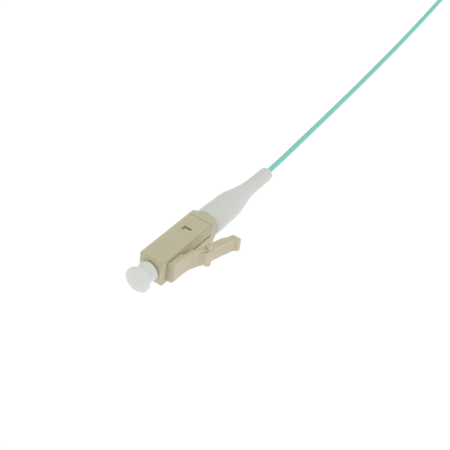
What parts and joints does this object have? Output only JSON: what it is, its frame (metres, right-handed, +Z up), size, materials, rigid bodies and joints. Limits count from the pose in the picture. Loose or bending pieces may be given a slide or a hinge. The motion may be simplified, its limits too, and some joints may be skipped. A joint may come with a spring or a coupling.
{
  "type": "lc fibre connector",
  "caption": "Small square fibre plug with a side latch arm, soft boot and press-on dust cap, on a thin buffered fibre.",
  "frame": {"origin": "centre of the plug's mating face, on the fibre axis", "axes": "+X out of the mating face towards the dust cap, +Y towards the latch arm, +Z up as the plug lies on a plain side"},
  "size_m": [0.1521, 0.0186, 0.005],
  "materials": {
    "plug_plastic": "matte beige moulded plastic",
    "body_plastic": "matte beige moulded plastic",
    "boot_rubber": "satin white soft plastic",
    "cap_plastic": "translucent white soft plastic",
    "zirconia": "polished white ceramic",
    "flange_metal": "nickel-plated metal",
    "spring_steel": "drawn steel wire",
    "glass": "clear glass",
    "buffer_plastic": "satin aqua buffer",
    "tie_plastic": "white soft band"
  },
  "bodies": {
    "plug": {"front_housing": "plug_plastic", "rear_body": "body_plastic", "boot": "boot_rubber", "spring": "spring_steel", "buffered_fibre_end": "buffer_plastic", "buffered_fibre": "buffer_plastic", "fibre_coil": "buffer_plastic", "coil_tie": "tie_plastic"},
    "latch": {"latch_lever": "plug_plastic"},
    "ferrule": {"ferrule": "zirconia", "ferrule_flange": "flange_metal", "glass_fibre": "glass"},
    "cap": {"dust_cap": "cap_plastic"}
  },
  "joints": [
    {"name": "latch_press", "type": "hinge", "parent": "plug", "child": "latch", "pos_m": [-0.00493, 0.00321, 0], "axis": [0, 0, 1], "range_deg": [0, 14], "stiffness_Nm_per_rad": 0.02},
    {"name": "ferrule_float", "type": "slide", "parent": "plug", "child": "ferrule", "axis": [-1, 0, 0], "range_m": [0, 0.0009], "stiffness_N_per_m": 2000, "springref_m": -0.0022, "deforming": ["spring"]},
    {"name": "cap_pull", "type": "slide", "parent": "plug", "child": "cap", "axis": [1, 0, 0], "range_m": [0, 0.012]}
  ]
}
